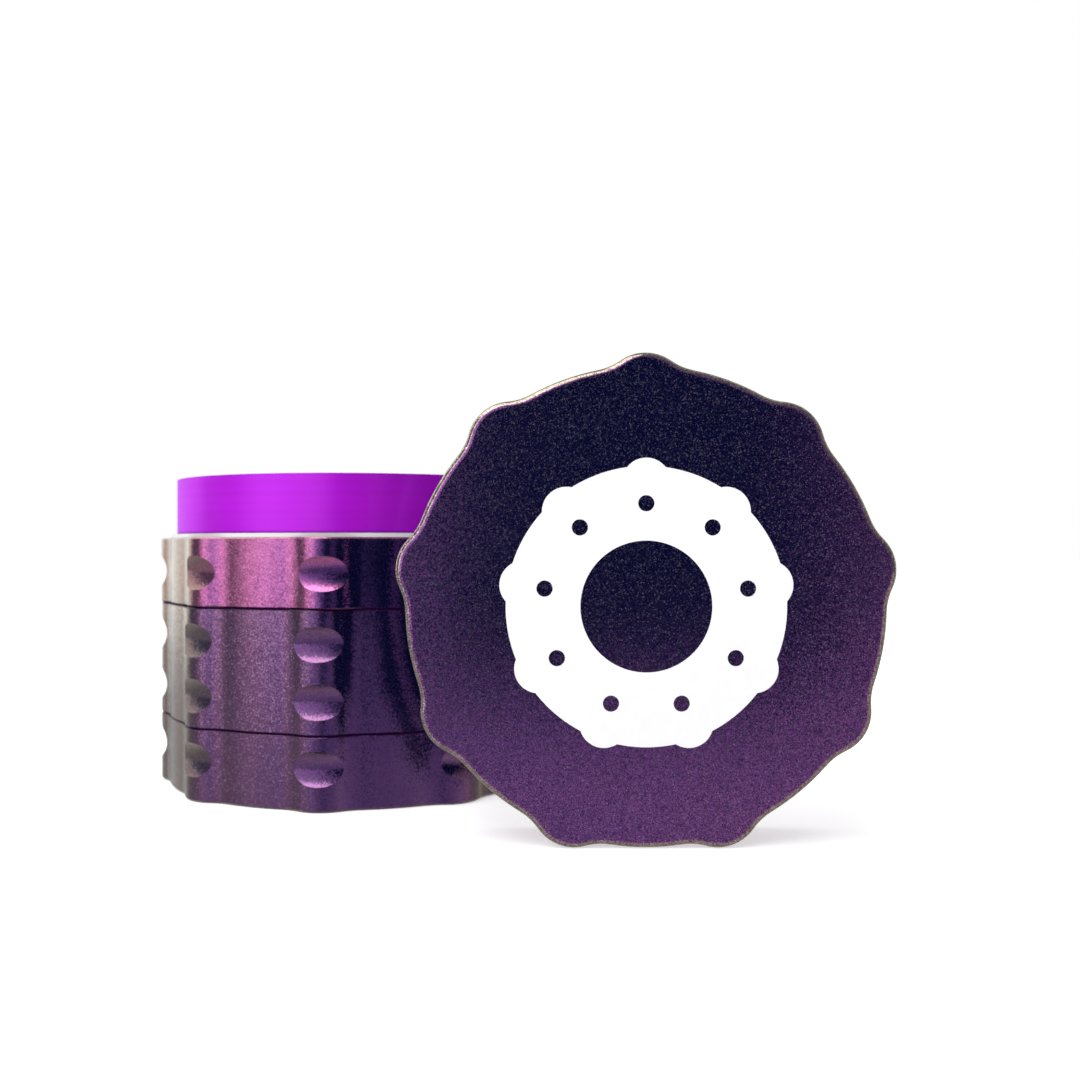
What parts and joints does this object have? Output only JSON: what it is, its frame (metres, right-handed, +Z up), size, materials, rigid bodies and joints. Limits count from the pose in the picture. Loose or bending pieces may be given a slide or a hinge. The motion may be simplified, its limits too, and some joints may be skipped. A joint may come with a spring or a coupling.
{
  "type": "hand grinder",
  "caption": "Round hand-held herb grinder with a lobed grip: toothed lid, grinding chamber with drop holes, screened collection chamber and pollen catcher, shown with the lid off.",
  "frame": {"origin": "centre of the flat base of the pollen catcher, on the table", "axes": "+Z up along the axis of the stack, -Y towards the side the lid's face looks to, +X to the side where the lid stands"},
  "size_m": [0.1256, 0.0968, 0.0731],
  "materials": {
    "coated_body": "colour-shift flake coating",
    "coated_collection": "colour-shift flake coating",
    "coated_catcher": "colour-shift flake coating",
    "coated_lid": "colour-shift flake coating",
    "white_ring": "satin",
    "white_inlay": "matte print",
    "steel": "brushed",
    "woven_mesh": "woven",
    "magnet": "nickel plated"
  },
  "bodies": {
    "catcher": {"pollen_catcher": "coated_catcher"},
    "screen_holder": {"screen_retainer": "steel"},
    "collection": {"collection_chamber": "coated_collection", "screen_frame": "steel", "screen_mesh": "woven_mesh"},
    "hub": {"chamber_magnet": "magnet"},
    "grinding": {"grinding_chamber": "coated_body", "glide_ring": "white_ring"},
    "carried": {"lid_washer": "white_ring"},
    "seated": {"lid_magnet": "magnet"},
    "lid": {"lid_shell": "coated_lid", "lid_inlay": "white_inlay"}
  },
  "joints": [
    {"name": "collection_rise", "type": "slide", "parent": "catcher", "child": "screen_holder", "axis": [0, 0, 1], "range_m": [0, 0.00601]},
    {"name": "collection_thread", "type": "hinge", "parent": "screen_holder", "child": "collection", "pos_m": [0, 0, 0.0075], "axis": [0, 0, -1], "range_deg": [-1440, 0]},
    {"name": "chamber_rise", "type": "slide", "parent": "collection", "child": "hub", "axis": [0, 0, 1], "range_m": [0, 0.00601]},
    {"name": "chamber_thread", "type": "hinge", "parent": "hub", "child": "grinding", "pos_m": [0, 0, 0.0285], "axis": [0, 0, -1], "range_deg": [-1440, 0]},
    {"name": "lid_carry", "type": "hinge", "parent": "hub", "child": "carried", "pos_m": [0.01533, -0.03404, 0.04526], "axis": [-0.3183, -0.6703, 0.6703], "range_deg": [0, 144.68]},
    {"name": "lid_seat", "type": "slide", "parent": "carried", "child": "seated", "axis": [0, 1, 0], "range_m": [0, 0.0106]},
    {"name": "lid_turn", "type": "hinge", "parent": "seated", "child": "lid", "pos_m": [0.0514, -0.0608, 0.03563], "axis": [0, -1, 0], "continuous": true}
  ],
  "couplings": [
    {"joint": "collection_rise", "follows": "collection_thread", "m_per_rad": -0.00023873},
    {"joint": "chamber_rise", "follows": "chamber_thread", "m_per_rad": -0.00023873}
  ]
}
